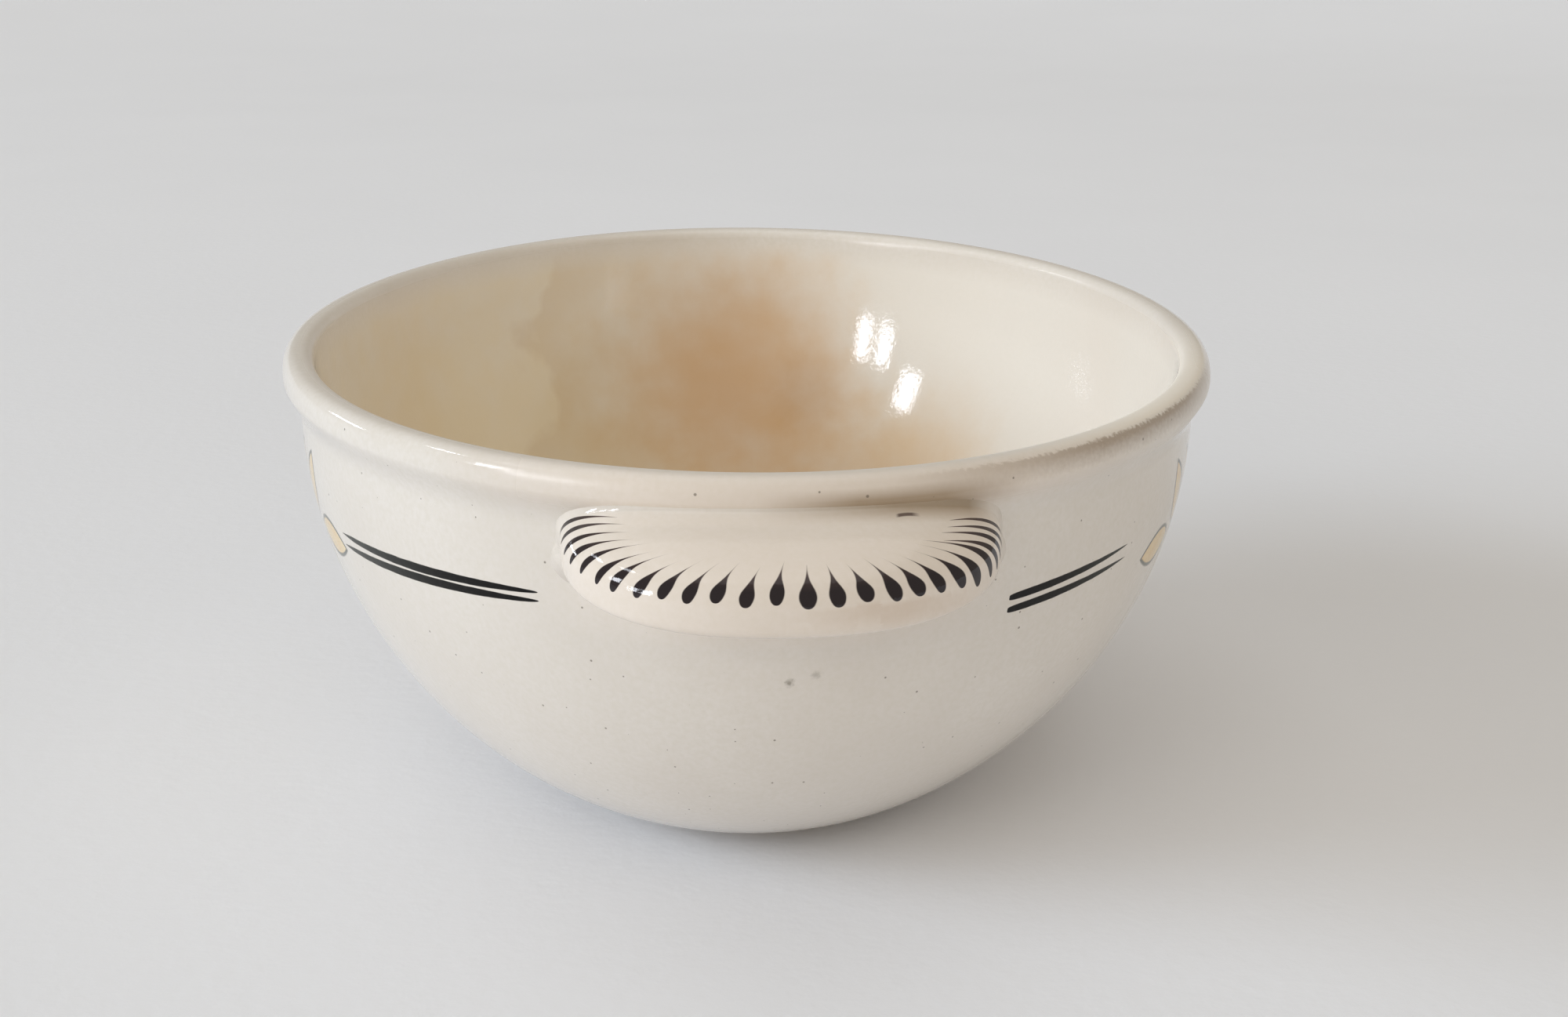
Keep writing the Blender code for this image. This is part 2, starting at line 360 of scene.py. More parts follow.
patch_size = 0.035          # of the places where the glaze lies thick or thin
grain_size = 0.0011         # of the clay's grain, drawn as coarse as it needs to show
peel_size = 0.0011          # of the orange peel, drawn as coarse as it needs to show
peel_depth = 0.00004
worn_dullness = 0.25        # roughness that wear adds


def glazed_clay(tree, shader, where, worn):
    """The cream glaze on pale earthenware that the bowl and its lugs share; gives its colour.

    A clear glaze over a buff body: the eye sees a warm cream, a little patchy where the glaze lies thick or
    thin, fine grain of the clay under it, and a wet gloss broken by a faint orange-peel surface. Where use
    has worn it, by a share from nought to one, the gloss is duller.
    """
    patches = add_node(tree, "TexNoise", {"Vector": where, "Scale": 1 / patch_size, "Detail": 3.0})
    patch = add_node(tree, "MapRange", {0: patches, 1: 0.35, 2: 0.65})
    grain = add_node(tree, "TexNoise", {"Vector": where, "Scale": 1 / grain_size, "Detail": 2.0})
    grain_cover = add_node(tree, "MapRange", {0: grain, 1: 0.3, 2: 0.7, 4: 0.48})
    cream = lay(tree, colour("#E9E2DA"), colour("#E3DBD2"), patch)
    grained = lay(tree, cream, colour("#DED6C9"), grain_cover)
    peel = add_node(tree, "TexNoise", {"Vector": where, "Scale": 1 / peel_size, "Detail": 3.0})
    surface = add_node(tree, "Bump", {"Height": peel, "Distance": peel_depth, "Strength": 0.6})
    fresh = add_node(tree, "MapRange", {0: patches, 1: 0.3, 2: 0.7, 3: 0.05, 4: 0.10})
    gloss = add_node(tree, "Math", {0: worn, 1: worn_dullness, 2: fresh}, operation="MULTIPLY_ADD")
    shader.inputs["IOR"].default_value = 1.52
    tree.links.new(gloss.outputs[0], shader.inputs["Roughness"])
    tree.links.new(surface.outputs[0], shader.inputs["Normal"])
    return grained


# Cream glaze with painted lines: dark oxide lines, duller than the glaze, peach leaves with a grey-green
# outline and a few iron specks show under the gloss, a tea-brown stain lies inside the far end, and painted
# light and shade lie inside and on the rim.
bowl_glaze, tree, shader = new_material("cream glaze with painted lines")
where = add_node(tree, "TexCoord", {}).outputs["Object"]
shell_place = add_node(tree, "UVMap", {}, uv_map="shell")
shell = add_node(tree, "SeparateXYZ", {0: shell_place})
run_place, below_place = shell.outputs[0], shell.outputs[1]


def band(tree, value, low, high, low_blur, high_blur):
    """One between two values, nought outside them, with a slope of its own width at each end."""
    rise = add_node(tree, "MapRange", {0: value, 1: low - low_blur / 2, 2: low + low_blur / 2})
    fall = add_node(tree, "MapRange", {0: value, 1: high + high_blur / 2, 2: high - high_blur / 2})
    return add_node(tree, "Math", {0: rise, 1: fall}, operation="MULTIPLY")


# Where use has dulled the gloss: along the lip, and on the front and the right of the bead
worn_lip = band(tree, below_place, -0.0045, 0.0002, 0.002, 0.002)
grip_run = band(tree, run_place, -0.047, 0.130, 0.010, 0.030)
grip_below = band(tree, below_place, 0.0002, 0.0100, 0.002, 0.003)
worn_grip = add_node(tree, "Math", {0: grip_run, 1: grip_below}, operation="MULTIPLY")
worn_bead = add_node(tree, "Math", {0: worn_lip, 1: worn_grip}, operation="ADD", use_clamp=True)
body = glazed_clay(tree, shader, where, worn_bead)

# Paler glaze inside, then patches with a ragged edge, as middle, radius, strength and colour of each: a warm
# yellow painted shade over the left and lower inside, and the tea-brown stains
drift_size, mottle_size = 0.030, 0.009
# The painted shade patch takes the same ragged edge and sizes as the stains.
stain_and_shade_rag = 0.4             # how far each noise moves a stain's edge, as a share of its radius
stain_and_shade_edge, stain_and_shade_core = 1.4, 0.5   # where a stain starts, and where it is full, as shares of its radius
inside_cover = add_node(tree, "MapRange", {0: below_place, 1: -0.004, 2: -0.010})
body = lay(tree, body, colour("#F0EAE1"), inside_cover, 0.75)
stain_and_shade_drift, stain_and_shade_mottle = (add_node(tree, "TexNoise", {"Vector": where, "Scale": 1 / size, "Detail": 4.0})
                             for size in (drift_size, mottle_size))
for middle, radius, strength, code in (
        # First a warm yellow painted shade over the left and lower inside, then the tea-brown stains
        ((-0.050, 0.050, 0.030), 0.115, 0.72, "#EBD6AA"), ((0.001, 0.101, 0.051), 0.048, 0.66, "#D6A468"),
        ((0.020, 0.072, 0.022), 0.052, 0.32, "#DDB078"), ((0.046, 0.072, 0.034), 0.034, 0.45, "#DDB884"),
        ((0.021, 0.098, 0.050), 0.014, 0.16, "#A67C50")):
    away = add_node(tree, "VectorMath", {0: where, 1: middle}, operation="DISTANCE").outputs["Value"]
    for rag in (stain_and_shade_drift, stain_and_shade_mottle):
        away = add_node(tree, "Math", {0: rag, 1: stain_and_shade_rag * radius, 2: away}, operation="MULTIPLY_ADD")
    stain_and_shade = add_node(tree, "MapRange", {0: away, 1: stain_and_shade_edge * radius, 2: stain_and_shade_core * radius},
                     interpolation_type="SMOOTHSTEP")
    body = lay(tree, body, colour(code), stain_and_shade, inside_cover, strength)

# Painted shade at the edge of a reflection, on the left of the stain: darker tan to the right of a wandering
# edge across the far wall, fading out further right
shade_edge_wander = 0.045         # how far the edge wanders
shade_edge_place = add_node(tree, "SeparateXYZ", {0: where})
shade_edge_line = add_node(tree, "Math", {0: stain_and_shade_drift, 1: shade_edge_wander, 2: shade_edge_place}, operation="MULTIPLY_ADD")
shade_edge = add_node(tree, "MapRange", {0: shade_edge_line, 1: -0.0270, 2: -0.0240})
shade_edge_fade = add_node(tree, "MapRange", {0: shade_edge_line, 1: 0.010, 2: -0.020})
shade_edge_far = add_node(tree, "MapRange", {0: shade_edge_place.outputs[1], 1: 0.0, 2: 0.030})
body = lay(tree, body, colour("#C39C66"), shade_edge, shade_edge_fade, shade_edge_far, inside_cover, 0.20)

# Wear, dirt and painted light and shade on the outside, as runs round the wall and distances below the crest,
# each with its blur: a warm bloom over the lug, a pale painted light under it against the lug's shade, a
# crest on the right made paler by painted light, a brown band under that, painted shade with grime, and dirt
# with painted shade in the corner over the lug
# A ragged shift of the distance below the crest, for the sharp top edge of the painted shade band on the
# right; its noise also frays the smudges
ragged_size, ragged_reach = 0.0008, 0.0004
ragged_noise = add_node(tree, "TexNoise", {"Vector": where, "Scale": 1 / ragged_size, "Detail": 3.0})
ragged_shift = add_node(tree, "MapRange", {0: ragged_noise, 1: 0.3, 2: 0.7, 3: -ragged_reach, 4: ragged_reach})
ragged_shade_below = add_node(tree, "Math", {0: below_place, 1: ragged_shift}, operation="ADD")
for place, run_range, run_blur, below_range, below_blurs, code, strength in (
        (below_place, (-0.045, 0.060), 0.040, (0.0010, 0.0100), (0.004, 0.004), "#F0D8C2", 0.28),
        # Painted light: a pale bloom on the wall under the lug that lightens the lug's shade
        (below_place, (-0.028, 0.028), 0.030, (0.0230, 0.0290), (0.006, 0.012), "#FFF0E2", 0.85),
        # Painted light: the crest on the right made paler where it turns away from the window
        (below_place, (0.060, 0.140), 0.040, (-0.0040, 0.0020), (0.002, 0.001), "#FFF6E8", 0.75),
        # Painted shade with grime: a brown band on the bead's lower face on the right, under a ragged sharp
        # top edge
        (ragged_shade_below, (0.040, 0.116), 0.044, (0.0024, 0.0050), (0.0006, 0.0034), "#84694A", 0.62),
        # Dirt and painted shade: olive-brown in the corner between the bead and the lug
        (below_place, (0.004, 0.035), 0.016, (0.0050, 0.0092), (0.0022, 0.003), "#8C6C3A", 0.66)):
    wear_and_light_run = band(tree, run_place, *run_range, run_blur, run_blur)
    wear_and_light_below = band(tree, place, *below_range, *below_blurs)
    body = lay(tree, body, colour(code), wear_and_light_run, wear_and_light_below, strength)

# Smudges of dirt on the front of the belly, as run and distance below the crest, radius and strength
spot_core, spot_rag = 0.001, 0.002
for middle, radius, strength in (((0.0020, 0.0416, 0.0), 0.0022, 0.65),
                                 ((0.0066, 0.0401, 0.0), 0.0024, 0.32)):
    away = add_node(tree, "VectorMath", {0: shell_place, 1: middle}, operation="DISTANCE").outputs["Value"]
    edge = add_node(tree, "Math", {0: ragged_noise, 1: spot_rag, 2: away}, operation="MULTIPLY_ADD")
    spot = add_node(tree, "MapRange", {0: edge, 1: radius, 2: spot_core}, interpolation_type="SMOOTHSTEP")
    body = lay(tree, body, colour("#6E6452"), spot, strength)

# Iron specks on the outside: a dot in about every second cell of a net, each of its own size
speck_spacing = 0.0068
speck_radius = 0.00030
speck_share = speck_radius / speck_spacing
speck_cells = add_node(tree, "TexVoronoi", {"Vector": shell_place, "Scale": 1 / speck_spacing},
                       voronoi_dimensions="2D")
speck_size = add_node(tree, "SeparateXYZ", {0: speck_cells.outputs["Color"]})
speck_reach = add_node(tree, "MapRange", {0: speck_size, 1: 0.45, 2: 1.0, 4: speck_share})
speck_depth = add_node(tree, "Math", {0: speck_reach, 1: speck_cells}, operation="SUBTRACT")
speck = add_node(tree, "MapRange", {0: speck_depth, 1: 0.0, 2: 0.3 * speck_share})
outer_speck = add_node(tree, "MapRange", {0: below_place, 1: 0.0, 2: 0.004})
body = lay(tree, body, colour("#5A4A38"), speck, outer_speck, 0.65)

# Leaves: a peach wash inside a grey-green outline
wash_size = 0.006
leaf = add_node(tree, "SeparateXYZ", {0: add_node(tree, "UVMap", {}, uv_map="leaves")})
leaf_depth = stroke_depth(tree, leaf.outputs[0], leaf.outputs[1], leaf_head, leaf_tail,
                          stroke_scale(leaf_head, leaf_tail))
leaf_fill = add_node(tree, "MapRange", {0: leaf_depth, 1: 0.0, 2: 0.1})
leaf_inner = add_node(tree, "MapRange", {0: leaf_depth, 1: 0.20, 2: 0.28})
wash = add_node(tree, "TexNoise", {"Vector": where, "Scale": 1 / wash_size, "Detail": 2.0})
leaf_paint = lay(tree, colour("#EFDDB2"), colour("#E6BE84"), wash)
leaf_paint = lay(tree, colour("#4C5149"), leaf_paint, leaf_inner)
body = lay(tree, body, leaf_paint, leaf_fill)

# Lines: thick dark paint with a wavering edge, thinner where each line starts
line_waver_size = 0.004
line_rag = 0.25             # how far a line's edge wavers, as a share of its half width
line = add_node(tree, "SeparateXYZ", {0: add_node(tree, "UVMap", {}, uv_map="lines")})
line_waver = add_node(tree, "TexNoise", {"Vector": where, "Scale": 1 / line_waver_size, "Detail": 3.0})
off_middle = add_node(tree, "Math", {0: line.outputs[0], 1: 0.0}, operation="ABSOLUTE")
off_line = add_node(tree, "Math", {0: off_middle, 1: 1.0}, operation="SUBTRACT")
gap_share, line_tail, line_scale = (
    add_node(tree, "MapRange", {0: run_place, 1: -0.001, 2: 0.001, 3: left, 4: right})
    for left, right in ((outer_gap[1] / line_widths[0], outer_gap[2] / line_widths[1]), line_tails,
                        [stroke_scale(line_head, tail) for tail in line_tails]))
line_across = add_node(tree, "Math", {0: off_line, 1: gap_share}, operation="MULTIPLY")
line_depth = stroke_depth(tree, line_across, line.outputs[1], line_head, line_tail, line_scale)
line_worn = add_node(tree, "Math", {0: line_waver, 1: -line_rag, 2: line_depth}, operation="MULTIPLY_ADD")
line_cover = add_node(tree, "MapRange", {0: line_worn, 1: -0.15, 2: 0.0})
line_load = add_node(tree, "MapRange", {0: line.outputs[1], 1: 0.0, 2: 0.6})
line_paint = lay(tree, colour("#232722"), colour("#060505"), line_load)
line_shine = add_node(tree, "MapRange", {0: line_cover, 3: 0.5, 4: 0.2})
tree.links.new(line_shine.outputs[0], shader.inputs["Specular IOR Level"])
body = lay(tree, body, line_paint, line_cover)
tree.links.new(body, shader.inputs["Base Color"])

bowl.data.materials.append(bowl_glaze)
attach(bowl, "root")
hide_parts("dish_bowl")

# Foot ring
# A low oval ring of the same clay, luted with slip under the base, on which the dish stands. Its foot was
# wiped clean of glaze before firing, so that the dish didn't stick to the kiln shelf.
foot_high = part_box("foot_ring")[1]
foot_outer = half_width - foot_high.x
foot_width = 0.0060
foot_rounding = 0.0010
foot_sink = 0.0004          # how far the ring's top goes into the base, so that no light shows in the seam
foot_inner = foot_outer + foot_width
foot_top = base_height + foot_sink
foot_profile = np.vstack([
    np.linspace((foot_inner, foot_top), (foot_outer, foot_top), 6),
    arc((foot_outer + foot_rounding, foot_rounding), (foot_rounding, foot_rounding), 180, 270, 10),
    np.linspace((foot_outer + foot_rounding, 0), (foot_inner - foot_rounding, 0), 8)[1:-1],
    arc((foot_inner - foot_rounding, foot_rounding), (foot_rounding, foot_rounding), 270, 360, 10)])


def ring_skin(name, profile, turn):
    """A closed ring: the profile's ovals in turn, with quads between neighbours both ways round."""
    points = ovals(profile[:, :1], profile[:, 1:], turn)
    index = np.arange(points[..., 0].size).reshape(points.shape[:2])
    below_it, beside = np.roll(index, -1, axis=0), np.roll(index, -1, axis=1)
    diagonal = np.roll(below_it, -1, axis=1)
    quads = np.stack([index, below_it, diagonal, beside], axis=2).reshape(-1, 4)
    return mesh_object(name, points, quads.tolist())


foot = ring_skin("foot", foot_profile, seam_turn[None, :-1])

# Bare fired clay: dry buff earthenware, matt and sandy, darker where years of sliding have dirtied it.
sand_size, sand_depth, scuff_size = 0.0006, 0.00008, 0.009
foot_clay, tree, shader = new_material("bare fired clay")
where = add_node(tree, "TexCoord", {}).outputs["Object"]
sand = add_node(tree, "TexNoise", {"Vector": where, "Scale": 1 / sand_size, "Detail": 4.0})
scuffs = add_node(tree, "TexNoise", {"Vector": where, "Scale": 1 / scuff_size, "Detail": 5.0})
scuff_cover = add_node(tree, "MapRange", {0: scuffs, 1: 0.45, 2: 0.7, 4: 0.5})
clay = lay(tree, colour("#D8C6AC"), colour("#C9B395"), sand)
tree.links.new(lay(tree, clay, colour("#A48E73"), scuff_cover), shader.inputs["Base Color"])
grit = add_node(tree, "Bump", {"Height": sand, "Distance": sand_depth, "Strength": 0.7})
tree.links.new(grit.outputs[0], shader.inputs["Normal"])
shader.inputs["Roughness"].default_value = 0.75
foot.data.materials.append(foot_clay)
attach(foot, "root")
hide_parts("foot_ring")

# Lug handles
# A solid half-moon of clay at each end, pressed on under the bead and smoothed into the wall with slip. A fan
# of drop-shaped strokes was brushed round its edge, head down, before both were glazed with the bowl.
lug_half_width = 0.0371     # half the lug's width along the wall
lug_reach = 0.0200          # wall to the lug's nose
lug_depth = 0.0135          # crest of the rim down to the lug's widest line, at the wall
lug_rise = 0.0086           # widest line up to the lug's top, at the wall
lug_drop = 0.0048           # widest line down to the lug's underside, at the wall
lug_droop = 0.28            # fall of the lug's widest line for each unit of reach
plan_power = 3.0            # squareness of the half moon seen from above: 2 is an ellipse
section_power = 3.2         # squareness of the lug's section
top_cove = 0.0008           # radius of the slip that rounds the lug's top and ends into the wall
low_cove = 0.0056           # radius of the slip under the lug
root_depth = 0.0006         # how far the lug's back lies inside the wall
seam_sink = 0.00006         # how far the cove's edge runs into the wall, so that the seam is one clean line
lug_shift = 0.0006          # how far the lug sits to the right of the end's middle
bead_near = 0.006           # how near to the wall the lug follows the bead's swell
lug_columns = 480
lug_rows = 96
# How the painter's hand changed along the lug's edge, as shares of the way from its middle to its ends
hand_shares = (-1.00, -0.75, -0.50, -0.25, 0.00, 0.25, 0.50, 0.70, 0.75, 1.00)
stroke_pitch = (0.0029, 0.0029, 0.0038, 0.0048, 0.0050, 0.0047, 0.0037, 0.0036, 0.0021, 0.0019)
stroke_foot = (0.0016, 0.0023, 0.0027, 0.0036, 0.0030, 0.0029, 0.0022, 0.0004, 0.0, 0.0005)
stroke_length = (0.0132, 0.0118, 0.0090, 0.0076, 0.0080, 0.0081, 0.0099, 0.0150, 0.0122, 0.0128)
stroke_lean = (0.0032, 0.0036, 0.0026, 0.0015, 0.0012, -0.0010, -0.0024, -0.0046, -0.0050, -0.0030)
stroke_half = (0.0007, 0.0006, 0.0010, 0.00135, 0.0015, 0.0015, 0.0013, 0.0011, 0.0006, 0.0005)
stroke_neck = (0.72, 0.52, 0.43, 0.45, 0.49, 0.47, 0.41, 0.36, 0.80, 0.90)    # where the head is half spent
stroke_head = 0.38          # how bluntly a stroke starts: less is blunter
neck_power = 4.0            # how quickly the head narrows there
tip_power = 0.35            # how bluntly the thread of paint after it ends
middle_stroke = -0.0025     # where the stroke nearest to the middle starts
last_stroke = 0.0455        # the strokes on the right stop short of the wall
lean_power = 2.2            # how late a stroke bends off its ray
stray_run, stray_length, stray_half = 0.07, 0.07, 0.10  # a stroke's chance shares of pitch, length and width
stray_foot = 0.0004         # and of its foot, in metres


def wall_outside(sideways, height, facing):
    """Y of the bowl's outside at the front end, or at the rear one seen as the front.

    It is the oval at that height, -(half length - inset) times its own curve, drawn in and down by hand.
    """
    end_turn = 0.0 if facing > 0 else np.pi
    turn = end_turn + np.arcsin(np.clip(sideways / (half_width - bead_reach), -1.0, 1.0))
    drawn, sag = hand_drawn(height, turn)
    inset = np.interp(height + sag, outside[::-1, 1], outside[::-1, 0]) + drawn
    share = np.clip(sideways / (half_width - inset), -1.0, 1.0)
    return (inset - half_length) * np.sqrt(1 - share ** 2)


def lug_pillow():
    """One lug's points, as (sideways, outwards, upwards) from the middle of its root on the wall.

    The pillow is ((|sideways| / half width)^n + (|outwards| / reach)^n)^(m / n) + (|upwards| / thickness)^m
    = 1, n its plan power and m its section power. Rays leave the nose, share r of the way to the outline on
    the wall: sideways and upwards are r times the outline's, and outwards follows from the formula.
    """
    angle = np.linspace(0.0, 2 * np.pi, 4001)
    outline = np.stack([lug_half_width * power(np.cos(angle), 2 / section_power),
                        power(np.sin(angle), 2 / section_power)], axis=1)
    outline[:, 1] *= np.where(outline[:, 1] > 0, lug_rise, lug_drop)
    even = travelled(outline)
    spread = np.linspace(0.0, even[-1], lug_columns, endpoint=False)
    edge_side, edge_up = (np.interp(spread, even, outline[:, i])[None, :] for i in (0, 1))
    share = np.sin(np.linspace(0.0, np.pi / 2, lug_rows + 1)[1:, None]) ** (2 / section_power)
    sideways, upwards = share * edge_side, share * edge_up
    thickness = np.where(upwards > 0, lug_rise, lug_drop)
    level = np.clip(1 - np.abs(upwards / thickness) ** section_power, 0, 1) ** (plan_power / section_power)
    left = np.clip(level - np.abs(sideways / lug_half_width) ** plan_power, 0, 1)
    outwards = lug_reach * left ** (1 / plan_power)
    outwards[-1] = 0.0
    return sideways, outwards, upwards


def coved(sideways, outwards, upwards):
    """The pillow with a cove of slip at the wall.

    Within a radius c of the wall each point moves out along the outline's normal by
    c - sqrt(c^2 - (c - outwards)^2), a quarter circle that ends level with the wall.
    """
    thickness = np.where(upwards > 0, lug_rise, lug_drop)
    normal_side = power(sideways / lug_half_width, section_power - 1) / lug_half_width
    normal_up = power(upwards / thickness, section_power - 1) / thickness
    length = np.hypot(normal_side, normal_up) + 1e-9
    normal_side, normal_up = normal_side / length, normal_up / length
    radius = top_cove + (low_cove - top_cove) * np.clip(-normal_up, 0.0, 1.0) ** 2
    gap = np.clip(radius - outwards, 0.0, None)
    shift = radius - np.sqrt(np.clip(radius ** 2 - gap ** 2, 0.0, None))
    return sideways + shift * normal_side, upwards + shift * normal_up


def on_wall(sideways, outwards, upwards, facing):
    """The lug's points set on the front end of the bowl, drooping in step with its reach.

    Close to the wall they follow it, bead and all, and farther out they keep the plain oval's curve.
    """
    sideways = sideways + lug_shift
    height = rim_height - lug_depth + upwards - lug_droop * outwards
    plain = (bead_reach - half_length) * np.sqrt(1 - (sideways / (half_width - bead_reach)) ** 2)
    close = np.clip(1 - outwards / bead_near, 0.0, 1.0) ** 2
    seat = plain + close * (wall_outside(sideways, height, facing) - plain)
    return np.stack([sideways, seat + seam_sink - outwards, height], axis=2)


def drop_width(t, neck):
    """A drop's half width at a share t of its length: t^head (1 - t)^tip / (1 + (t / neck)^power).

    It is an oval head that narrows at its neck to a thread.
    """
    return t ** stroke_head * (1 - t) ** tip_power / (1 + (t / neck) ** neck_power)


def stroke_coordinates(sideways, outwards, upwards, seed):
    """Shares across and along the brush stroke in which each of the lug's quads lies deepest, and its hand.

    Strokes lie on the plan's rays from the middle of the root. A point's ray is known by where it crosses the
    lug's edge, as a run from the middle, and its place on the ray by the distance over the surface from the
    widest line. A stroke bends off its ray by its lean times its share to the lean power. The hand is the
    stroke's neck and the scale of its width.
    """
    fan_side = power(sideways / lug_half_width, plan_power / 2)
    fan = np.arctan2((outwards / lug_reach) ** (plan_power / 2), fan_side)
    fan_line = np.linspace(0.0, np.pi, 2001)
    edge = np.stack([lug_half_width * power(np.cos(fan_line), 2 / plan_power),
                     lug_reach * np.sin(fan_line) ** (2 / plan_power)], axis=1)
    edge_run = travelled(edge)[-1] / 2 - travelled(edge)
    ray_run, ray_out, ray_fall = (np.interp(fan, fan_line, values)
                                  for values in (edge_run, np.hypot(*edge.T), edge[:, 1]))

    thickness = np.where(upwards > 0, lug_rise, lug_drop)
    lean_angle = np.arcsin(np.clip(np.abs(upwards / thickness), 0, 1) ** (section_power / 2))
    step = np.linspace(0.0, 1.0, 49)[:, None, None] * lean_angle
    inward = np.cos(step) ** (2 / section_power)
    climb = np.sin(step) ** (2 / section_power) * np.abs(thickness)
    fall = -lug_droop * ray_fall * inward * np.where(upwards > 0, 1.0, -1.0)
    path = np.hypot(np.diff(inward * ray_out, axis=0), np.diff(climb + fall, axis=0)).sum(axis=0)
    climbed = np.where(upwards > 0, path, -path)

    edge_half = edge_run[0]
    run_line = np.linspace(-edge_half, edge_half, 2001)
    per_metre = 1 / np.interp(run_line / edge_half, hand_shares, stroke_pitch)
    counted = np.cumsum(per_metre) * (run_line[1] - run_line[0])
    counted -= np.interp(middle_stroke, run_line, counted)
    order = np.arange(np.ceil(counted[0]), np.interp(last_stroke, run_line, counted))
    stroke_run = np.interp(order, counted, run_line)
    draw = np.random.default_rng(seed)
    pitch, foot, length, lean, half, neck = (
        np.interp(stroke_run / edge_half, hand_shares, values)
        for values in (stroke_pitch, stroke_foot, stroke_length, stroke_lean, stroke_half, stroke_neck))
    stroke_run = stroke_run + stray_run * pitch * draw.uniform(-1, 1, order.size)
    foot = foot + stray_foot * draw.uniform(-1, 1, order.size)
    length = length * (1 + stray_length * draw.uniform(-1, 1, order.size))
    half = half * (1 + stray_half * draw.uniform(-1, 1, order.size))

    ray_run, climbed = (corners(np.concatenate([values, values[:, :1]], axis=1))[..., None]
                        for values in (ray_run, climbed))
    along = (climbed - foot) / length
    across = (ray_run - stroke_run - lean * np.clip(along, 0.0, 1.0) ** lean_power) / half
    scale = 1 / drop_width(np.linspace(0.0, 1.0, 501)[:, None], neck).max(axis=0)
    brush, number = deepest_stroke(across, along, half, length, lambda t: scale * drop_width(t, neck))
    hand = np.stack([neck[number], scale[number]], axis=2)
    return brush, np.broadcast_to(hand[:, :, None, :], brush.shape)


def lug(name, facing, seed):
    """A lug set at the front end, or by a half turn at the rear one; its back is closed in the wall."""
    sideways, outwards, upwards = lug_pillow()
    brush, hand = stroke_coordinates(sideways, outwards, upwards, seed)
    spread_side, spread_up = coved(sideways, outwards, upwards)
    rings = on_wall(spread_side, outwards, spread_up, facing)
    root = rings[-1:] + (0.0, root_depth, 0.0)
    nose = on_wall(np.zeros((1, 1)), np.full((1, 1), lug_reach), np.zeros((1, 1)), facing)[0, 0]
    back = (lug_shift, bead_reach - half_length + root_depth, rim_height - lug_depth)
    half_turn = np.array((facing, facing, 1.0))
    seat = np.stack([spread_side, outwards], axis=2)
    seat_corners = corners(np.concatenate([seat, seat[:, :1]], axis=1))
    root_map = np.broadcast_to(off_paint, (1, lug_columns, 4, 2))
    maps = {key: (np.concatenate([values, root_map]), at_nose, off_paint)
            for key, values, at_nose in (("brush", brush, off_paint), ("hand", hand, (1.0, 1.0)),
                                         ("seat", seat_corners, (0.0, lug_reach)))}
    return skin(name, np.concatenate([rings, root]) * half_turn, nose * half_turn, back * half_turn, maps)


def drop_depth(tree, across, along, neck, scale):
    """How far a point lies inside a drop of paint, whose half width drop_width gives, times the scale."""
    share = add_node(tree, "Math", {0: along, 1: 0.0}, operation="ADD", use_clamp=True)
    past_neck = add_node(tree, "Math", {0: share, 1: neck}, operation="DIVIDE")
    spent = add_node(tree, "Math", {0: past_neck, 1: neck_power}, operation="POWER")
    narrowed = add_node(tree, "Math", {0: spent, 1: 1.0}, operation="ADD")
    left = add_node(tree, "Math", {0: scale, 1: narrowed}, operation="DIVIDE")
    return stroke_depth(tree, across, along, stroke_head, tip_power, left)


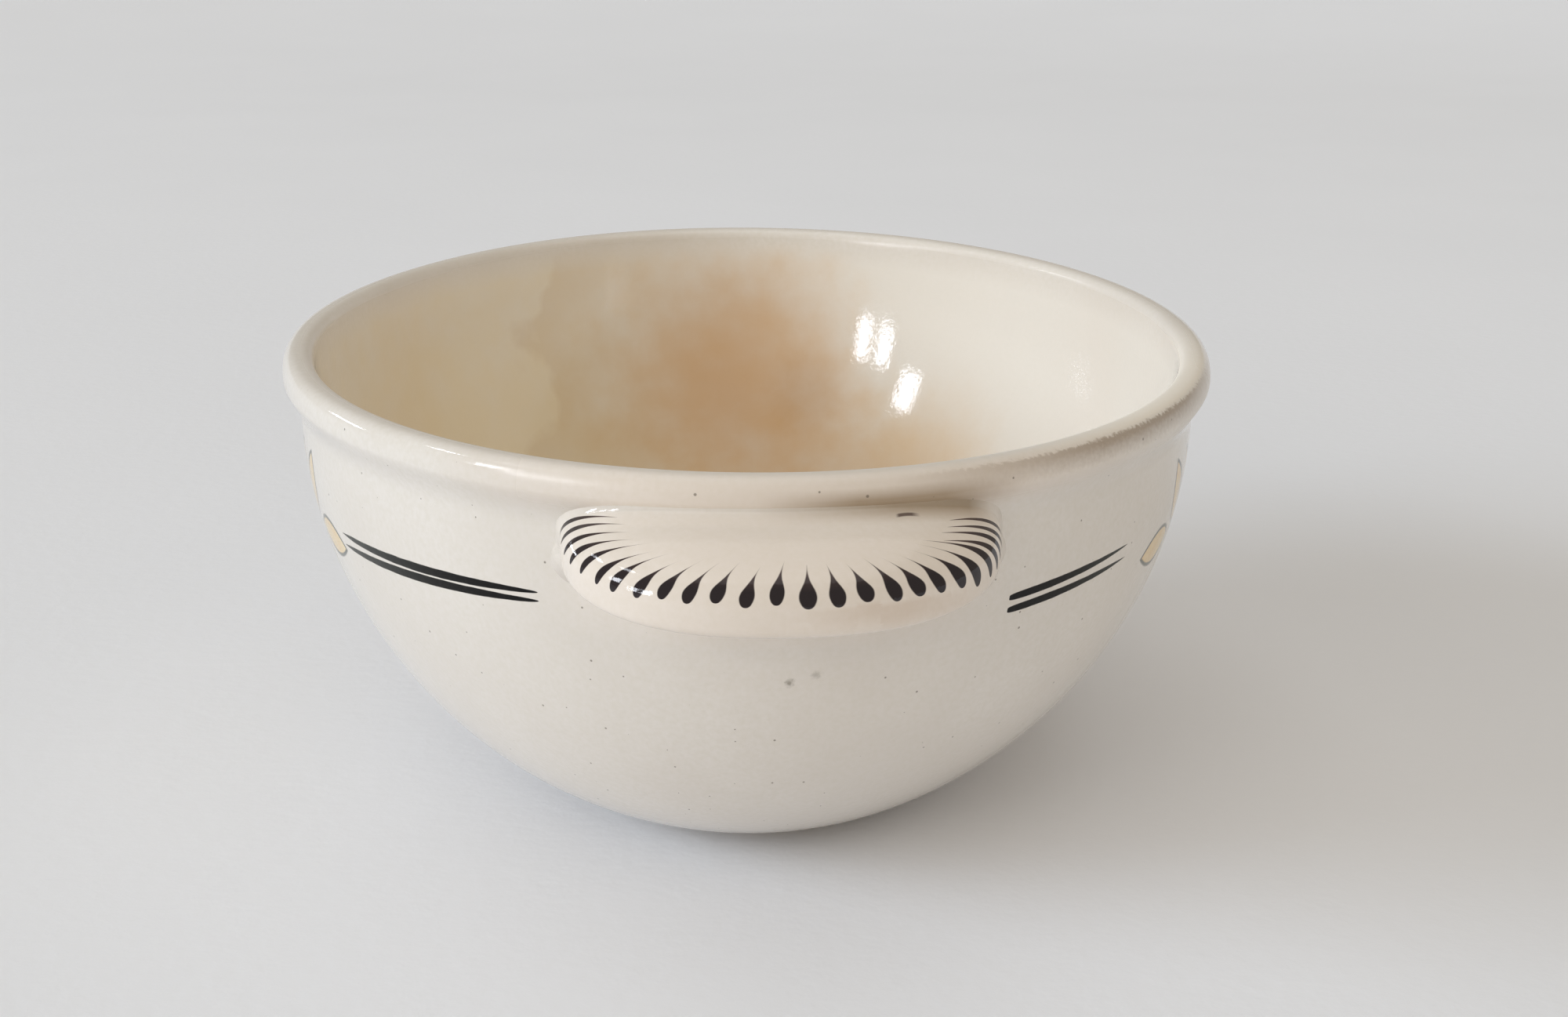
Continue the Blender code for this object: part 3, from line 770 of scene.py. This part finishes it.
# Cream glaze with brushed drops: the same glaze over a fan of dark strokes, near black where the brush left
# its load at the head, a thinner aubergine brown along the tail, with soft edges in the glaze.
waver_size, drop_rag = 0.0022, 0.10
for lug_name, node_name, facing, seed, slip_strength in (("lug_front", "front_lug", 1.0, 7, 0.85),
                                                         ("lug_rear", "rear_lug", -1.0, 11, 0.0)):
    piece = lug(lug_name, facing, seed)
    lug_glaze, tree, shader = new_material("cream glaze with brushed drops " + lug_name.split("_")[1])
    where = add_node(tree, "TexCoord", {}).outputs["Object"]
    brush, hand, seat = (
        add_node(tree, "SeparateXYZ", {0: add_node(tree, "UVMap", {}, uv_map=map_name)}).outputs
        for map_name in ("brush", "hand", "seat"))
    body = glazed_clay(tree, shader, where, 0.0)

    # A warm bloom, brown dirt with painted shade in the corner at the wall, and a smudge under the heads of
    # the strokes
    bloom = add_node(tree, "MapRange", {0: seat[1], 1: 0.002, 2: 0.012, 3: 0.12, 4: 0.28})
    body = lay(tree, body, colour("#F6E0CC"), bloom)
    # Dirt and painted shade: olive-brown in the corner where the lug meets the wall, on its right half
    near_wall = add_node(tree, "MapRange", {0: seat[1], 1: 0.0072, 2: 0.0020})
    dirt_and_shade_end = band(tree, seat[0], 0.006, 0.0330, 0.024, 0.004)
    body = lay(tree, body, colour("#8C6C3A"), near_wall, dirt_and_shade_end, 0.64)
    smudge_side = band(tree, seat[0], 0.006, 0.026, 0.014, 0.014)
    smudge_low = band(tree, brush[1], -0.40, -0.02, 0.30, 0.10)
    body = lay(tree, body, colour("#B8926A"), smudge_side, smudge_low, 0.22)

    # A slip of the brush on the front lug: a short dash, bowed by its distance from its middle squared
    slip_middle, slip_bend = 0.0200, -90.0
    slip_off = add_node(tree, "Math", {0: seat[0], 1: slip_middle}, operation="SUBTRACT")
    slip_bow = add_node(tree, "Math", {0: slip_off, 1: slip_off}, operation="MULTIPLY")
    slip_line = add_node(tree, "Math", {0: slip_bow, 1: slip_bend, 2: seat[1]}, operation="MULTIPLY_ADD")
    slip_side = band(tree, seat[0], 0.0182, 0.0214, 0.0006, 0.0014)
    slip_out = band(tree, slip_line, 0.0042, 0.0052, 0.0003, 0.0003)
    body = lay(tree, body, colour("#4A3836"), slip_side, slip_out, slip_strength)

    waver = add_node(tree, "TexNoise", {"Vector": where, "Scale": 1 / waver_size, "Detail": 2.0})
    depth = drop_depth(tree, brush[0], brush[1], hand[0], hand[1])
    worn = add_node(tree, "Math", {0: waver, 1: -drop_rag, 2: depth}, operation="MULTIPLY_ADD")
    cover = add_node(tree, "MapRange", {0: worn, 1: -0.06, 2: 0.08})
    load = add_node(tree, "MapRange", {0: brush[1], 1: 0.35, 2: 0.95})
    paint = lay(tree, colour("#241C20"), colour("#56423F"), load)
    tree.links.new(lay(tree, body, paint, cover), shader.inputs["Base Color"])
    piece.data.materials.append(lug_glaze)
    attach(piece, "root")
    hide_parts(node_name)

# Sheet that the dish stands on
# A wide piece of matt white paper, flat under the dish and curled up all round, so that no edge shows from
# any side: it isn't part of the dish.
sheet_half_width = 2.5
sheet_flat = 1.2            # radius of the flat part
sheet_curl = 0.30           # how high the paper rises at its edge
sheet_steps = 80
sheet_side = np.linspace(-sheet_half_width, sheet_half_width, sheet_steps + 1)
sheet_x, sheet_y = np.meshgrid(sheet_side, sheet_side, indexing="ij")
curled = np.clip((np.hypot(sheet_x, sheet_y) - sheet_flat) / (sheet_half_width - sheet_flat), 0.0, 1.0)
sheet_grid = np.stack([sheet_x, sheet_y, sheet_curl * curled ** 2], axis=2)
sheet_quads = corners(np.arange(sheet_x.size).reshape(sheet_x.shape)).reshape(-1, 4)
sheet = mesh_object("paper_sheet", sheet_grid, sheet_quads.tolist())

# Matt white paper: no gloss at all, only a faint tooth and cloudiness of the pulp.
pulp_size, tooth_size, tooth_depth = 0.12, 0.004, 0.0003
paper, tree, shader = new_material("matt white paper")
where = add_node(tree, "TexCoord", {}).outputs["Object"]
pulp = add_node(tree, "TexNoise", {"Vector": where, "Scale": 1 / pulp_size, "Detail": 5.0})
tree.links.new(lay(tree, colour("#F6F7FB"), colour("#F2F3F7"), pulp), shader.inputs["Base Color"])
tooth = add_node(tree, "TexNoise", {"Vector": where, "Scale": 1 / tooth_size, "Detail": 3.0})
rough = add_node(tree, "Bump", {"Height": tooth, "Distance": tooth_depth, "Strength": 0.4})
tree.links.new(rough.outputs[0], shader.inputs["Normal"])
shader.inputs["Roughness"].default_value = 0.95
shader.inputs["Specular IOR Level"].default_value = 0.1
sheet.data.materials.append(paper)

# Window and room light
# Daylight from a window on the left, in panes between glazing bars, a pale ceiling overhead, and the soft
# light of the room all round. The panes show only in the gloss, and of the soft lamps only the ceiling does.
dish_middle = np.array((0.0, 0.0, rim_height / 2))


def soft_light(name, place, target, size, watts, code):
    """A rectangular area lamp at a place, its face turned to a target."""
    lamp = bpy.data.lights.new(name, "AREA")
    lamp.shape = "RECTANGLE"
    lamp.size, lamp.size_y = size
    lamp.energy = watts
    lamp.color = colour(code)[:3]
    made = bpy.data.objects.new(name, lamp)
    bpy.context.scene.collection.objects.link(made)
    ahead = np.array(target) - place
    ahead = ahead / np.linalg.norm(ahead)
    right = np.cross(ahead, (0.0, 0.0, 1.0) if abs(ahead[2]) < 0.99 else (0.0, 1.0, 0.0))
    right /= np.linalg.norm(right)
    up = np.cross(right, ahead)
    made.matrix_world = Matrix([(right[i], up[i], -ahead[i], place[i]) for i in range(3)] + [(0, 0, 0, 1)])
    return made


# Bearing and rise in degrees as seen from the dish, distance, width and height in metres, watts and colour
soft_lamps = (
    ("window", -97, 20, 12.8, 7.20, 4.80, 960.0, "#E1F0FF"),
    ("window_of_next_room", -135, 22, 14.4, 7.20, 5.60, 284.8, "#FFFBF4"),
    ("ceiling", 0, 89, 4.0, 4.00, 4.00, 25.0, "#FFFFFF"),
    ("room_front", 178, 24, 7.2, 7.60, 3.80, 50.0, "#FFFAEF"),
    ("room_right", 85, 22, 7.2, 5.80, 4.40, 33.0, "#FFFFFF"))
panes = (
    ("pane_far", -60, 15, 2.4, 0.50, 0.12, 3.5, "#F4F7FF"),
    ("pane_far_top", -79, 38, 2.4, 0.36, 0.12, 1.8, "#F4F7FF"),
    ("pane_top", -100, 47, 2.4, 0.36, 0.12, 1.2, "#F4F7FF"),
    ("pane_middle", -106, 21, 2.4, 0.27, 0.37, 5.5, "#F4F7FF"),
    ("pane_near", -119, 13, 2.4, 0.20, 0.41, 4.8, "#F4F7FF"),
    ("pane_nearest", -127, 13, 2.4, 0.20, 0.41, 4.8, "#F4F7FF"))
for lamp_name, lamp_bearing, lamp_rise, distance, width, height, watts, code in soft_lamps + panes:
    bearing, rise = np.radians(lamp_bearing), np.radians(lamp_rise)
    towards = np.array((np.sin(bearing) * np.cos(rise), np.cos(bearing) * np.cos(rise), np.sin(rise)))
    lamp = soft_light(lamp_name, dish_middle + distance * towards, dish_middle, (width, height), watts, code)
    lamp.visible_glossy = lamp_name.startswith(("pane", "ceiling"))
    lamp.visible_diffuse = not lamp_name.startswith("pane")

world = bpy.data.worlds.new("room")
world.use_nodes = True
world.node_tree.nodes["Background"].inputs["Color"].default_value = colour("#FFF6E6")
world.node_tree.nodes["Background"].inputs["Strength"].default_value = 0.365
bpy.context.scene.world = world

# Camera
# It stands in front of the lug, a little to the left, and looks down on the rim by 17 degrees.
camera_place = (-0.02442, -0.46764, 0.19505)
camera_turn, camera_fall, camera_roll = -0.0698, 0.3015, 0.0046
lens = bpy.data.cameras.new("camera")
lens.lens = 52.45
lens.sensor_width = 36.0
lens.sensor_fit = "HORIZONTAL"
lens.clip_start = 0.01
camera = bpy.data.objects.new("camera", lens)
bpy.context.scene.collection.objects.link(camera)
camera.matrix_world = (
    Matrix.Translation(camera_place) @ Matrix.Rotation(camera_turn, 4, "Z")
    @ Matrix.Rotation(np.pi / 2 - camera_fall, 4, "X") @ Matrix.Rotation(camera_roll, 4, "Z"))
bpy.context.scene.camera = camera
bpy.context.scene.view_settings.view_transform = "Standard"

bpy.context.view_layer.update()
